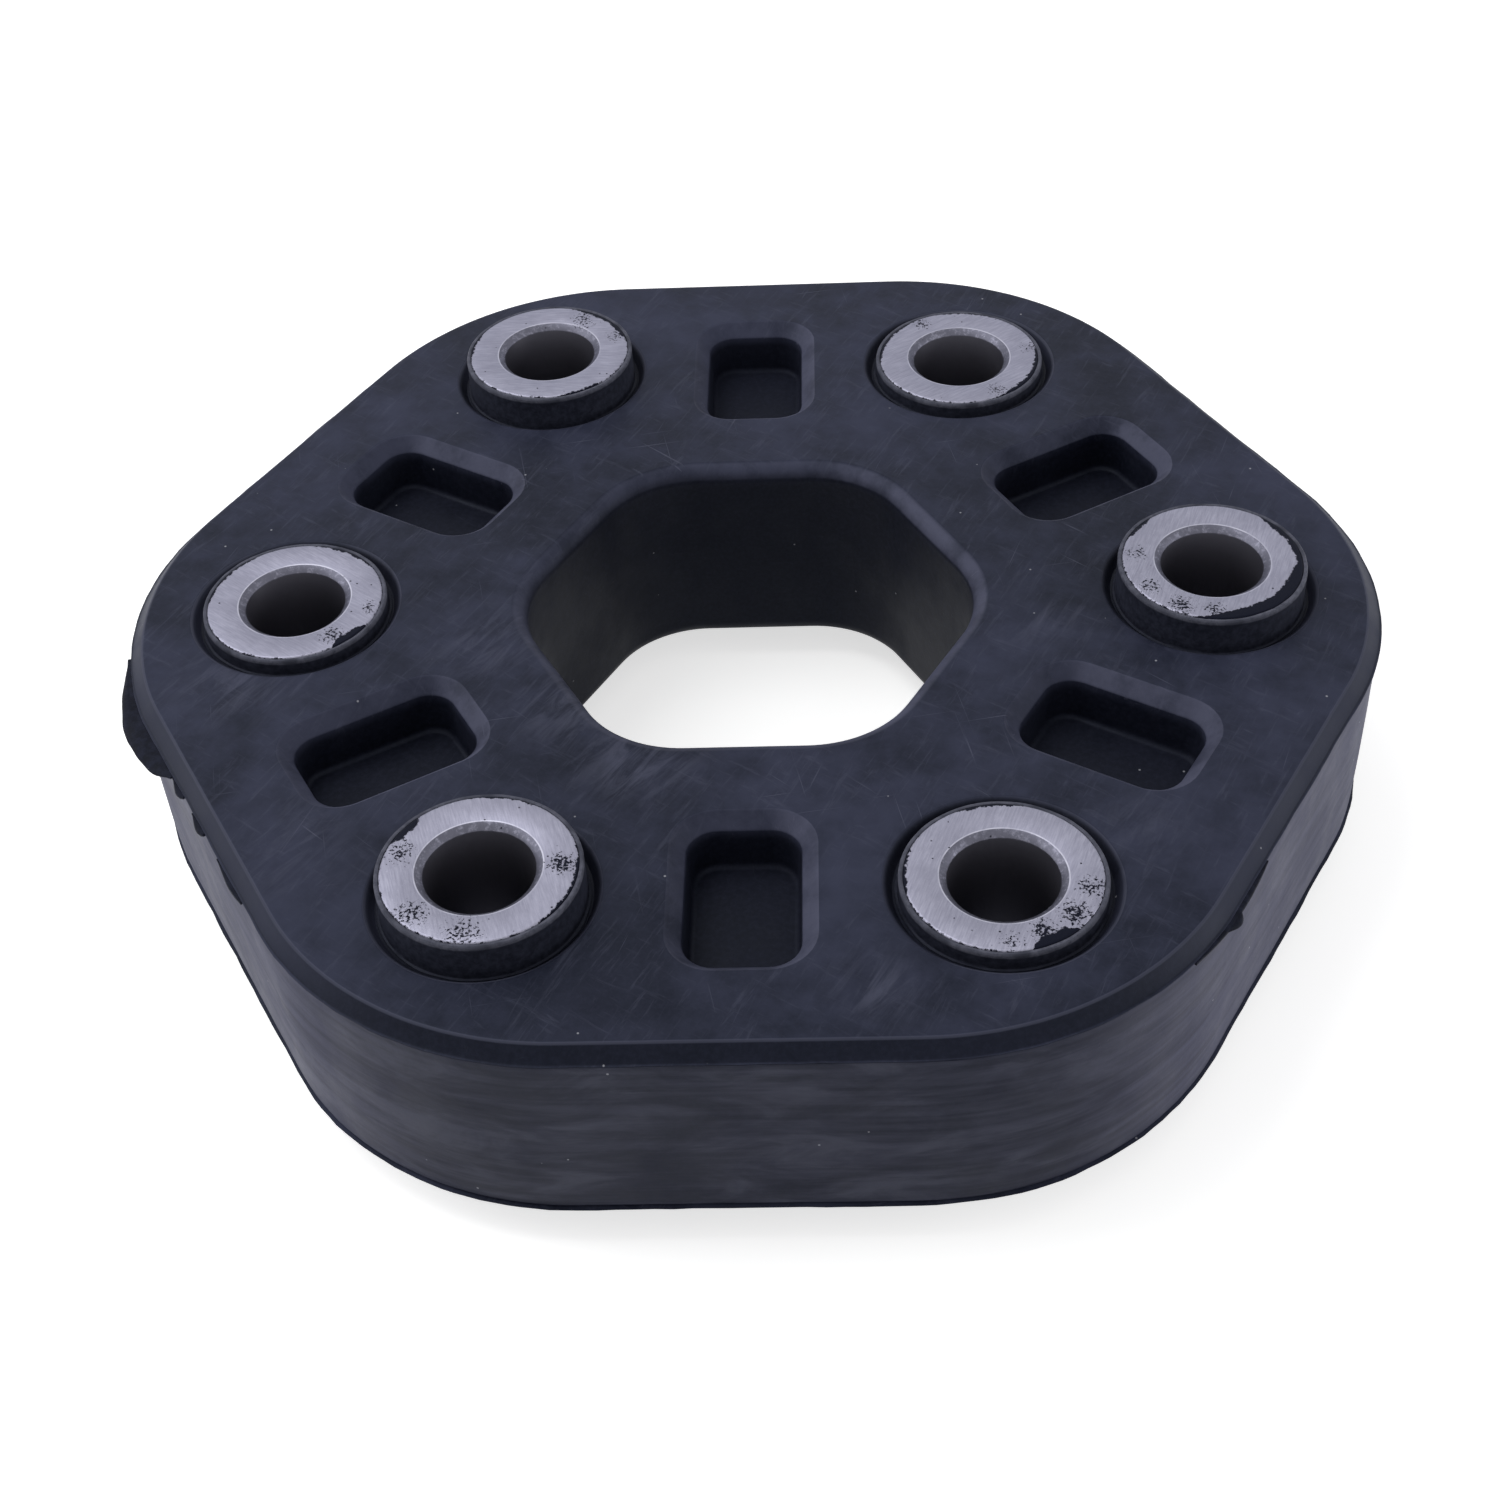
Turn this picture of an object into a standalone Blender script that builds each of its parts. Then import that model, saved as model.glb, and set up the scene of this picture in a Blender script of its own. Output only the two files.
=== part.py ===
"""Driveshaft flex disc: a moulded rubber hexagon with six steel sleeves, tied in pairs by cord loops.

Units are metres. +Z is the disc's axis, the origin lies on that axis at the lowest end faces,
and sleeve number 0 is at +X. The sleeves stand proud on alternate sides of the disc.
"""
import math

import bmesh
import bpy
from mathutils import Matrix, Vector

# Driving dimensions of the bolt pattern
SLEEVE_COUNT = 6
BOLT_CIRCLE_RADIUS = 0.055
BORE_RADIUS = 0.0060
SLEEVE_WALL = 0.0046
BORE_CHAMFER_WIDTH = 0.0008
BORE_CHAMFER_DEPTH = 0.0007
SLEEVE_EDGE_CHAMFER = 0.0003

# How far the sleeves stand out of the rubber faces
TALL_STAND_OUT = 0.0037
LOW_STAND_OUT = 0.0010

# Rubber body outline
BODY_HEIGHT = 0.0278
BODY_APOTHEM = 0.0702
BODY_CORNER_RADIUS = 0.0385
RIM_BAND_WIDTH = 0.0019
RIM_BAND_DROP = 0.0018

# Central opening
HOLE_APOTHEM = 0.0250
HOLE_CORNER_RADIUS = 0.0130
HOLE_FILLET = 0.0022

# Blind pockets between the sleeves
POCKET_LENGTH = 0.0197
POCKET_WIDTH = 0.0127
POCKET_CORNER_RADIUS = 0.0035
POCKET_RIM_WIDTH = 0.0016
POCKET_RIM_DEPTH = 0.0016
POCKET_DEPTH = 0.0070
POCKET_DRAFT = 0.0003

# Shallow moat in the rubber round each sleeve
MOAT_WIDTH = 0.0020
MOAT_DEPTH = 0.0013
MOAT_SLOPE = 0.0008

# Cord loops and the spool collars that hold them on the sleeves
MOULD_GAP = 0.0003
STRAND_WIDTH = 0.0053
LOOP_HEIGHT = 0.0085
LAYER_SPACING = 0.0018
COLLAR_THICKNESS = 0.0012
COLLAR_FLANGE = 0.0056

# Facets
ROUND_STEPS = 24
LOOP_END_STEPS = 12
BODY_CORNER_STEPS = 6
HOLE_CORNER_STEPS = 4
POCKET_CORNER_STEPS = 3
MERGE_DISTANCE = 0.00001
CUT_OVERRUN = 0.0005

# Sizes that follow from the ones above
SLEEVE_RADIUS = BORE_RADIUS + SLEEVE_WALL
SLEEVE_LENGTH = TALL_STAND_OUT + BODY_HEIGHT + LOW_STAND_OUT
BODY_BOTTOM = TALL_STAND_OUT
BODY_TOP = BODY_BOTTOM + BODY_HEIGHT
BODY_MIDDLE = BODY_BOTTOM + BODY_HEIGHT / 2
SLEEVE_PITCH = math.tau / SLEEVE_COUNT
SIDE_ANGLE = SLEEVE_PITCH / 2
PAIR_RADIUS = BOLT_CIRCLE_RADIUS * math.cos(SIDE_ANGLE)
PAIR_SPACING = 2 * BOLT_CIRCLE_RADIUS * math.sin(SIDE_ANGLE)
SEAT_RADIUS = SLEEVE_RADIUS + MOULD_GAP
LOOP_NEAR = LAYER_SPACING / 2
LOOP_FAR = LOOP_NEAR + LOOP_HEIGHT
COLLAR_NEAR = LOOP_FAR + MOULD_GAP
COLLAR_FAR = COLLAR_NEAR + COLLAR_THICKNESS


def clear_scene():
    """Remove what the file starts with."""
    for item in list(bpy.data.objects):
        bpy.data.objects.remove(item, do_unlink=True)


def new_collection(name):
    """Make a collection in the scene."""
    collection = bpy.data.collections.new(name)
    bpy.context.scene.collection.children.link(collection)
    return collection


def new_material(name, colour, roughness, metallic):
    """Make a plain Principled material."""
    material = bpy.data.materials.new(name)
    material.use_nodes = True
    shader = material.node_tree.nodes["Principled BSDF"]
    shader.inputs["Base Color"].default_value = (*colour, 1.0)
    shader.inputs["Roughness"].default_value = roughness
    shader.inputs["Metallic"].default_value = metallic
    material.diffuse_color = (*colour, 1.0)
    return material


def place(mesh, name, collection, material=None):
    """Put a mesh in the scene as a named object with a material."""
    item = bpy.data.objects.new(name, mesh)
    collection.objects.link(item)
    if material is not None and not mesh.materials:
        mesh.materials.append(material)
    return item


def make_cutter(mesh, name, collection):
    """Put a mesh in the cutters' collection, hidden from renders."""
    item = place(mesh, name, collection)
    item.hide_render = True
    item.display_type = "WIRE"
    return item


def cut(body, cutter):
    """Subtract one object from another with a live modifier.

    The exact solver leaves edges with three faces where the loops' rooms meet the seats.
    """
    modifier = body.modifiers.new("cut_" + cutter.name, "BOOLEAN")
    modifier.operation = "DIFFERENCE"
    modifier.solver = "MANIFOLD"
    modifier.object = cutter


def shade(mesh, angle=math.radians(35)):
    """Smooth the round faces and keep the real edges sharp."""
    mesh.shade_smooth()
    mesh.set_sharp_from_angle(angle=angle)


def rounded_polygon(sides, apothem, radius, height, steps):
    """Points of a regular polygon with round corners, its first corner on +X."""
    half_side = math.pi / sides
    centre_distance = (apothem - radius) / math.cos(half_side)
    points = []
    for corner in range(sides):
        direction = 2 * half_side * corner
        centre = Vector((math.cos(direction), math.sin(direction), 0)) * centre_distance
        for step in range(steps + 1):
            angle = direction - half_side + 2 * half_side * step / steps
            arm = Vector((math.cos(angle), math.sin(angle), 0)) * radius
            points.append(centre + arm + Vector((0, 0, height)))
    return points


def rounded_rectangle(length, width, radius, height, steps):
    """Points of a rectangle with round corners, its length along X."""
    points = []
    for quarter in range(4):
        sign_x = (1, -1, -1, 1)[quarter]
        sign_y = (1, 1, -1, -1)[quarter]
        centre = Vector((sign_x * (length / 2 - radius), sign_y * (width / 2 - radius), height))
        for step in range(steps + 1):
            angle = math.pi / 2 * (quarter + step / steps)
            points.append(centre + Vector((math.cos(angle), math.sin(angle), 0)) * radius)
    return points


def lofted_mesh(name, rings):
    """A closed solid through rings that run from the lowest to the highest."""
    shape = bmesh.new()
    rows = [[shape.verts.new(point) for point in ring] for ring in rings]
    count = len(rows[0])
    for lower, upper in zip(rows, rows[1:]):
        for index in range(count):
            following = (index + 1) % count
            shape.faces.new((lower[index], lower[following], upper[following], upper[index]))
    shape.faces.new(list(reversed(rows[0])))
    shape.faces.new(rows[-1])
    mesh = bpy.data.meshes.new(name)
    shape.to_mesh(mesh)
    shape.free()
    return mesh


def turned_mesh(name, profile, ring=False, steps=ROUND_STEPS):
    """Turn a profile of (radius, height) points round Z; a ring's profile closes on itself."""
    mesh = bpy.data.meshes.new(name + "_profile")
    points = [(radius, 0.0, height) for radius, height in profile]
    edges = [(index, index + 1) for index in range(len(points) - 1)]
    if ring:
        edges.append((len(points) - 1, 0))
    mesh.from_pydata(points, edges, [])
    blank = bpy.data.objects.new(name + "_blank", mesh)
    bpy.context.scene.collection.objects.link(blank)
    screw = blank.modifiers.new("turn", "SCREW")
    screw.steps = steps
    screw.render_steps = steps
    screw.use_merge_vertices = True
    screw.merge_threshold = MERGE_DISTANCE
    graph = bpy.context.evaluated_depsgraph_get()
    solid = bpy.data.meshes.new_from_object(blank.evaluated_get(graph))
    solid.name = name
    bpy.data.objects.remove(blank, do_unlink=True)
    shade(solid)
    return solid


def stadium_ring_mesh(name, inner, outer, bottom, top):
    """A flat-sided ring with round ends, its two end centres on Y, half a pair spacing each way."""
    shape = bmesh.new()
    rows = []
    for radius, height in ((outer, bottom), (outer, top), (inner, top), (inner, bottom)):
        row = []
        for end in (1, -1):
            for step in range(LOOP_END_STEPS + 1):
                angle = math.pi * step / LOOP_END_STEPS + (0 if end == 1 else math.pi)
                x = radius * math.cos(angle)
                y = radius * math.sin(angle) + end * PAIR_SPACING / 2
                row.append(shape.verts.new((x, y, height)))
        rows.append(row)
    count = len(rows[0])
    for index, row in enumerate(rows):
        following_row = rows[(index + 1) % len(rows)]
        for point in range(count):
            following = (point + 1) % count
            shape.faces.new((row[point], row[following], following_row[following], following_row[point]))
    mesh = bpy.data.meshes.new(name)
    shape.to_mesh(mesh)
    shape.free()
    shade(mesh)
    return mesh


def around_axis(angle, distance, height=0.0):
    """Where a repeated piece goes: turned to the angle, out from the axis."""
    return Matrix.Rotation(angle, 4, "Z") @ Matrix.Translation((distance, 0, height))


def upside_down(angle, distance, height):
    """The same place on the underside: the piece is turned over about its radial line."""
    return around_axis(angle, distance, height) @ Matrix.Rotation(math.pi, 4, "X")


def sleeve_angle(number):
    """Direction of a sleeve."""
    return number * SLEEVE_PITCH


def pair_angle(number):
    """Direction halfway between a sleeve and the next one."""
    return sleeve_angle(number) + SIDE_ANGLE


def label(stem, angle):
    """A node name that ends in its direction in whole degrees."""
    return f"{stem}_{round(math.degrees(angle)):03d}"


def stands_tall(number):
    """True where the sleeve stands well out of the top face, false where it does so below."""
    return number % 2 == 0


def sleeve_bottom(number):
    """Height of a sleeve's lower end face."""
    return BODY_BOTTOM - (LOW_STAND_OUT if stands_tall(number) else TALL_STAND_OUT)


def body_blank():
    """The rubber hexagon before anything is cut from it."""
    face_apothem = BODY_APOTHEM - RIM_BAND_WIDTH
    face_radius = BODY_CORNER_RADIUS - RIM_BAND_WIDTH
    sections = (
        (face_apothem, face_radius, BODY_BOTTOM),
        (BODY_APOTHEM, BODY_CORNER_RADIUS, BODY_BOTTOM + RIM_BAND_DROP),
        (BODY_APOTHEM, BODY_CORNER_RADIUS, BODY_TOP - RIM_BAND_DROP),
        (face_apothem, face_radius, BODY_TOP),
    )
    rings = [
        rounded_polygon(SLEEVE_COUNT, apothem, radius, height, BODY_CORNER_STEPS)
        for apothem, radius, height in sections
    ]
    return lofted_mesh("rubber_body", rings)


def hole_cutter_mesh():
    """The central opening, with its fillets running out through both faces."""
    flare = HOLE_FILLET
    knee = flare * (1 - math.sqrt(0.5))
    mouth = flare + CUT_OVERRUN * (flare - knee) / knee
    sections = (
        (mouth, BODY_BOTTOM - CUT_OVERRUN),
        (knee, BODY_BOTTOM + knee),
        (0.0, BODY_BOTTOM + flare),
        (0.0, BODY_TOP - flare),
        (knee, BODY_TOP - knee),
        (mouth, BODY_TOP + CUT_OVERRUN),
    )
    rings = [
        rounded_polygon(
            SLEEVE_COUNT, HOLE_APOTHEM + grow, HOLE_CORNER_RADIUS + grow, height, HOLE_CORNER_STEPS
        )
        for grow, height in sections
    ]
    return lofted_mesh("hole_cutter", rings)


def pocket_cutter_mesh():
    """One blind pocket with a sloped rim, its mouth at height zero, its length along X."""
    overrun = CUT_OVERRUN / POCKET_RIM_DEPTH * POCKET_RIM_WIDTH
    sections = (
        (-POCKET_DRAFT, -POCKET_DEPTH),
        (0.0, -POCKET_RIM_DEPTH),
        (POCKET_RIM_WIDTH + overrun, CUT_OVERRUN),
    )
    rings = [
        rounded_rectangle(
            POCKET_LENGTH + 2 * grow,
            POCKET_WIDTH + 2 * grow,
            POCKET_CORNER_RADIUS + grow,
            height,
            POCKET_CORNER_STEPS,
        )
        for grow, height in sections
    ]
    return lofted_mesh("pocket_cutter", rings)


def seat_cutter_mesh():
    """What one sleeve and its collars take out of the rubber, with a moat at each face.

    Heights are from the middle of the body.
    """
    half = BODY_HEIGHT / 2
    moat_radius = SLEEVE_RADIUS + MOAT_WIDTH
    collar_radius = SEAT_RADIUS + COLLAR_FLANGE + MOULD_GAP
    mouth = moat_radius + CUT_OVERRUN * MOAT_SLOPE / MOAT_DEPTH
    upper = [
        (mouth, half + CUT_OVERRUN),
        (moat_radius - MOAT_SLOPE, half - MOAT_DEPTH),
        (SEAT_RADIUS, half - MOAT_DEPTH),
        (SEAT_RADIUS, COLLAR_FAR + MOULD_GAP),
        (collar_radius, COLLAR_FAR + MOULD_GAP),
        (collar_radius, COLLAR_NEAR - MOULD_GAP),
        (SEAT_RADIUS, COLLAR_NEAR - MOULD_GAP),
    ]
    lower = [(radius, -height) for radius, height in reversed(upper)]
    top = [(0.0, half + CUT_OVERRUN)]
    bottom = [(0.0, -half - CUT_OVERRUN)]
    return turned_mesh("seat_cutter", top + upper + lower + bottom)


def sleeve_mesh():
    """A steel sleeve with a chamfered bore, its lower face at height zero."""
    edge = SLEEVE_EDGE_CHAMFER
    mouth = BORE_RADIUS + BORE_CHAMFER_WIDTH
    profile = [
        (SLEEVE_RADIUS - edge, SLEEVE_LENGTH),
        (SLEEVE_RADIUS, SLEEVE_LENGTH - edge),
        (SLEEVE_RADIUS, edge),
        (SLEEVE_RADIUS - edge, 0.0),
        (mouth, 0.0),
        (BORE_RADIUS, BORE_CHAMFER_DEPTH),
        (BORE_RADIUS, SLEEVE_LENGTH - BORE_CHAMFER_DEPTH),
        (mouth, SLEEVE_LENGTH),
    ]
    return turned_mesh("steel_sleeve", profile, ring=True)


def collar_mesh():
    """A spool collar, from its near side at height zero."""
    profile = [
        (SEAT_RADIUS + COLLAR_FLANGE, COLLAR_THICKNESS),
        (SEAT_RADIUS + COLLAR_FLANGE, 0.0),
        (SEAT_RADIUS, 0.0),
        (SEAT_RADIUS, COLLAR_THICKNESS),
    ]
    return turned_mesh("spool_collar", profile, ring=True)


def loop_mesh():
    """A package of cord wound round two sleeves."""
    return stadium_ring_mesh("cord_loop", SEAT_RADIUS, SEAT_RADIUS + STRAND_WIDTH, 0.0, LOOP_HEIGHT)


def loop_cutter_mesh():
    """The room that one cord loop takes in the rubber."""
    return stadium_ring_mesh(
        "loop_cutter",
        SEAT_RADIUS - MOULD_GAP,
        SEAT_RADIUS + STRAND_WIDTH + MOULD_GAP,
        -MOULD_GAP,
        LOOP_HEIGHT + MOULD_GAP,
    )


def loop_bottom(number):
    """Height of a loop's lower side: even loops lie above the middle, odd ones below it."""
    return BODY_MIDDLE + (LOOP_NEAR if number % 2 == 0 else -LOOP_FAR)


def add_rubber_body(parts, cutters, rubber):
    """The moulded body with its opening, pockets, moats and the room for what is moulded in."""
    body = place(body_blank(), "rubber_body", parts, rubber)
    cut(body, make_cutter(hole_cutter_mesh(), "cutter_hole", cutters))
    pocket = pocket_cutter_mesh()
    seat = seat_cutter_mesh()
    loop = loop_cutter_mesh()
    for number in range(SLEEVE_COUNT):
        angle = pair_angle(number)
        above = make_cutter(pocket, label("cutter_pocket_upper", angle), cutters)
        above.matrix_world = around_axis(angle, PAIR_RADIUS, BODY_TOP)
        cut(body, above)
        below = make_cutter(pocket, label("cutter_pocket_lower", angle), cutters)
        below.matrix_world = upside_down(angle, PAIR_RADIUS, BODY_BOTTOM)
        cut(body, below)
    for number in range(SLEEVE_COUNT):
        angle = sleeve_angle(number)
        room = make_cutter(seat, label("cutter_seat", angle), cutters)
        room.matrix_world = around_axis(angle, BOLT_CIRCLE_RADIUS, BODY_MIDDLE)
        cut(body, room)
    for number in range(SLEEVE_COUNT):
        angle = pair_angle(number)
        room = make_cutter(loop, label("cutter_loop", angle), cutters)
        room.matrix_world = around_axis(angle, PAIR_RADIUS, loop_bottom(number))
        cut(body, room)
    weld = body.modifiers.new("merge_cut_corners", "WELD")
    weld.merge_threshold = MERGE_DISTANCE


def add_sleeves(parts, steel):
    """Six steel sleeves, proud on alternate sides."""
    mesh = sleeve_mesh()
    for number in range(SLEEVE_COUNT):
        angle = sleeve_angle(number)
        sleeve = place(mesh, label("steel_sleeve", angle), parts, steel)
        sleeve.matrix_world = around_axis(angle, BOLT_CIRCLE_RADIUS, sleeve_bottom(number))


def add_collars(parts, collar_steel):
    """A spool collar above and below the cord loops on each sleeve."""
    mesh = collar_mesh()
    for number in range(SLEEVE_COUNT):
        angle = sleeve_angle(number)
        upper = place(mesh, label("spool_collar_upper", angle), parts, collar_steel)
        upper.matrix_world = around_axis(angle, BOLT_CIRCLE_RADIUS, BODY_MIDDLE + COLLAR_NEAR)
        lower = place(mesh, label("spool_collar_lower", angle), parts, collar_steel)
        lower.matrix_world = around_axis(angle, BOLT_CIRCLE_RADIUS, BODY_MIDDLE - COLLAR_FAR)


def add_cord_loops(parts, cord):
    """Six cord loops, one round each pair of neighbouring sleeves."""
    mesh = loop_mesh()
    for number in range(SLEEVE_COUNT):
        angle = pair_angle(number)
        loop = place(mesh, label("cord_loop", angle), parts, cord)
        loop.matrix_world = around_axis(angle, PAIR_RADIUS, loop_bottom(number))


def main():
    """Build the flex disc."""
    clear_scene()
    parts = new_collection("driveshaft_flex_disc")
    cutters = new_collection("cutters")
    rubber = new_material("rubber", (0.030, 0.033, 0.050), 0.55, 0.0)
    steel = new_material("ground_steel", (0.46, 0.46, 0.52), 0.38, 1.0)
    collar_steel = new_material("collar_steel", (0.30, 0.30, 0.31), 0.50, 1.0)
    cord = new_material("polyester_cord", (0.62, 0.58, 0.48), 0.85, 0.0)
    add_rubber_body(parts, cutters, rubber)
    add_sleeves(parts, steel)
    add_collars(parts, collar_steel)
    add_cord_loops(parts, cord)


main()
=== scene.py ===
"""Looks of the driveshaft flex disc: worn moulded rubber, ground steel sleeves, soft light.

Lengths are in metres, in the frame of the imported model. MM turns millimetres into metres.
"""
import math
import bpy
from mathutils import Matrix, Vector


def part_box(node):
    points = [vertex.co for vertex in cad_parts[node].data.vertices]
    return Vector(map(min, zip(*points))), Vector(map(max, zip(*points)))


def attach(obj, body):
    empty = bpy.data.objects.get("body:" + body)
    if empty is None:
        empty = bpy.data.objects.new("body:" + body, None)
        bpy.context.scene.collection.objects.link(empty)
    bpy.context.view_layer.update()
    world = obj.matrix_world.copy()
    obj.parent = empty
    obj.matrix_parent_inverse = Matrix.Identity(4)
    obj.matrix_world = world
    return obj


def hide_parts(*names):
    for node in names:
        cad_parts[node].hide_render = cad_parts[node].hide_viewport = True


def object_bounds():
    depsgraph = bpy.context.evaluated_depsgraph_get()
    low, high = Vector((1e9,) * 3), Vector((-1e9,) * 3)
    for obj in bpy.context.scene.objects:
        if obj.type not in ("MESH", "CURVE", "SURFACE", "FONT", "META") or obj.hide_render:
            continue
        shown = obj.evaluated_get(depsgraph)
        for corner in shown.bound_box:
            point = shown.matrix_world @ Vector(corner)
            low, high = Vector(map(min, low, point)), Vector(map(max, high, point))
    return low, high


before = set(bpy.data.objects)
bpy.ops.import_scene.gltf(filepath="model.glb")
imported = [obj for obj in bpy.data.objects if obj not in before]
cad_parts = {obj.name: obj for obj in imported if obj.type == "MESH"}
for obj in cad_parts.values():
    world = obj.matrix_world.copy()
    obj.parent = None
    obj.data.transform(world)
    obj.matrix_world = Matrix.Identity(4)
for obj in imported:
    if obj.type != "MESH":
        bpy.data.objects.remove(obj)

from types import SimpleNamespace

import bmesh
import bpy
from mathutils import Matrix, Vector, noise

CAD_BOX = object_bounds()
MM = 0.001

# Places taken from the frame
SLEEVE_ANGLES = (0, 60, 120, 180, 240, 300)
BODY_LOW, BODY_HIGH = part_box("rubber_body")
BODY_BOTTOM = BODY_LOW.z
BODY_TOP = BODY_HIGH.z
BODY_MIDDLE = (BODY_BOTTOM + BODY_TOP) / 2
BODY_APOTHEM = BODY_HIGH.y

# Sizes of the fine shape
BODY_CORNER_RADIUS = 38.5 * MM
HOLE_APOTHEM = 25.0 * MM
HOLE_CORNER_RADIUS = 13.0 * MM
HOLE_FILLET = 2.2 * MM
PAIR_RADIUS = 47.63 * MM
POCKET_LENGTH = 19.7 * MM
POCKET_WIDTH = 12.7 * MM
POCKET_CORNER_RADIUS = 3.5 * MM
POCKET_RIM = 1.6 * MM
POCKET_DEPTH = 7.0 * MM
POCKET_DRAFT = 0.35 * MM
POCKET_FLOOR_FILLET = 0.7 * MM
SLEEVE_RADIUS = 10.6 * MM
BORE_RADIUS = 6.0 * MM
SKIN = 0.5 * MM
MOAT_RADIUS = 12.6 * MM
MOAT_DEPTH = 1.3 * MM
SKIN_OVERLAP = 0.1 * MM
RUN_OUT = 0.6 * MM
MERGE_DISTANCE = 0.000002
TURN_STEPS = 96

# The camera, solved from the sleeves' faces in the photograph
CAMERA_PLACE = Vector((11.37, -213.87, 210.65)) * MM
CAMERA_AZIMUTH = math.radians(3.3209)
CAMERA_HEIGHT = math.radians(43.7243)
CAMERA_ROLL = math.radians(-3.5327)
CAMERA_LENS = 55.58
SENSOR_WIDTH = 36.0

# Light: how bright the surround is to the object, and how bright it and the floor are to the eye
LIGHT_AIM = Vector((0, 0, 0.02))
WORLD_LIGHT = 0.42
WORLD_SEEN = 1.0
FLOOR_SEEN = 0.65


def link(item):
    """Put an object in the scene."""
    bpy.context.scene.collection.objects.link(item)
    return item


def polygon_ring(sides, apothem, radius, height, arc_steps, flat_steps=1, wobble=None):
    """Points of a regular polygon with round corners, its first corner on +X."""
    half = math.pi / sides
    centre_distance = (apothem - radius) / math.cos(half)
    flat_length = 2 * centre_distance * math.sin(half)
    points = []
    for corner in range(sides):
        direction = 2 * half * corner
        centre = Vector((math.cos(direction), math.sin(direction), 0)) * centre_distance
        for step in range(arc_steps + 1):
            angle = direction - half + 2 * half * step / arc_steps
            points.append((centre, Vector((math.cos(angle), math.sin(angle), 0))))
        angle = direction + half
        along = Vector((-math.sin(angle), math.cos(angle), 0))
        for step in range(1, flat_steps):
            shift = along * flat_length * step / flat_steps
            points.append((centre + shift, Vector((math.cos(angle), math.sin(angle), 0))))
    ring = []
    for centre, outward in points:
        reach = radius + (wobble(centre + outward * radius, height) if wobble else 0.0)
        ring.append(centre + outward * reach + Vector((0, 0, height)))
    return ring


def rectangle_ring(length, width, radius, height, steps):
    """Points of a rectangle with round corners, its length along X."""
    ring = []
    for quarter, (side_x, side_y) in enumerate(((1, 1), (-1, 1), (-1, -1), (1, -1))):
        centre = Vector((side_x * (length / 2 - radius), side_y * (width / 2 - radius), height))
        for step in range(steps + 1):
            angle = math.pi / 2 * (quarter + step / steps)
            ring.append(centre + Vector((math.cos(angle), math.sin(angle), 0)) * radius)
    return ring


def loft(name, rings):
    """A closed mesh through rings that run from the lowest to the highest."""
    shape = bmesh.new()
    rows = [[shape.verts.new(point) for point in ring] for ring in rings]
    count = len(rows[0])
    for lower, upper in zip(rows, rows[1:]):
        for index in range(count):
            following = (index + 1) % count
            shape.faces.new((lower[index], lower[following], upper[following], upper[index]))
    shape.faces.new(list(reversed(rows[0])))
    shape.faces.new(rows[-1])
    bmesh.ops.recalc_face_normals(shape, faces=shape.faces)
    mesh = bpy.data.meshes.new(name)
    shape.to_mesh(mesh)
    shape.free()
    return mesh


def turned(name, profile, closed=False):
    """A mesh turned round Z from (radius, height) points that run down its outer side."""
    steps = TURN_STEPS
    shape = bmesh.new()
    rows = []
    for radius, height in profile:
        if radius == 0:
            rows.append([shape.verts.new((0, 0, height))])
            continue
        turn = math.tau / steps
        row = [(radius * math.cos(turn * k), radius * math.sin(turn * k), height) for k in range(steps)]
        rows.append([shape.verts.new(point) for point in row])
    pairs = list(zip(rows, rows[1:]))
    if closed:
        pairs.append((rows[-1], rows[0]))
    for upper, lower in pairs:
        for index in range(steps):
            following = (index + 1) % steps
            corners = [lower[index % len(lower)], lower[following % len(lower)]]
            corners += [upper[following % len(upper)], upper[index % len(upper)]]
            unique = list(dict.fromkeys(corners))
            shape.faces.new(unique)
    mesh = bpy.data.meshes.new(name)
    shape.to_mesh(mesh)
    shape.free()
    return mesh


def arc(centre_x, centre_y, radius, start, end, steps):
    """Points of an arc in a profile, angles in degrees."""
    angles = [math.radians(start + (end - start) * k / steps) for k in range(steps + 1)]
    return [(centre_x + radius * math.cos(a), centre_y + radius * math.sin(a)) for a in angles]


def shade(mesh, degrees=32):
    """Smooth shading with sharp real edges."""
    mesh.shade_smooth()
    mesh.set_sharp_from_angle(angle=math.radians(degrees))


def wobble_noise(point, height, size, reach):
    """A repeatable uneven offset along an outline."""
    where = Vector((point.x, point.y, height)) / size
    return reach * noise.noise(where)


# Each row is how far in from the widest outline, how far below the face, and how uneven, in mm
RIM_PROFILE = (
    (2.30, 0.00, 0.00),
    (2.05, 0.03, 0.02),
    (1.85, 0.11, 0.03),
    (1.70, 0.25, 0.03),
    (1.30, 0.72, 0.04),
    (0.85, 1.22, 0.05),
    (0.48, 1.58, 0.08),
    (0.34, 1.68, 0.10),
    (0.16, 1.74, 0.16),
    (0.13, 1.84, 0.16),
    (0.46, 1.91, 0.10),
    (0.74, 2.00, 0.06),
    (0.76, 2.13, 0.06),
    (0.47, 2.26, 0.06),
    (0.42, 2.60, 0.05),
    (0.38, 4.20, 0.06),
    (0.34, 7.00, 0.07),
    (0.31, 10.5, 0.07),
)
WALL_MIDDLE_INSET = 0.30


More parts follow.
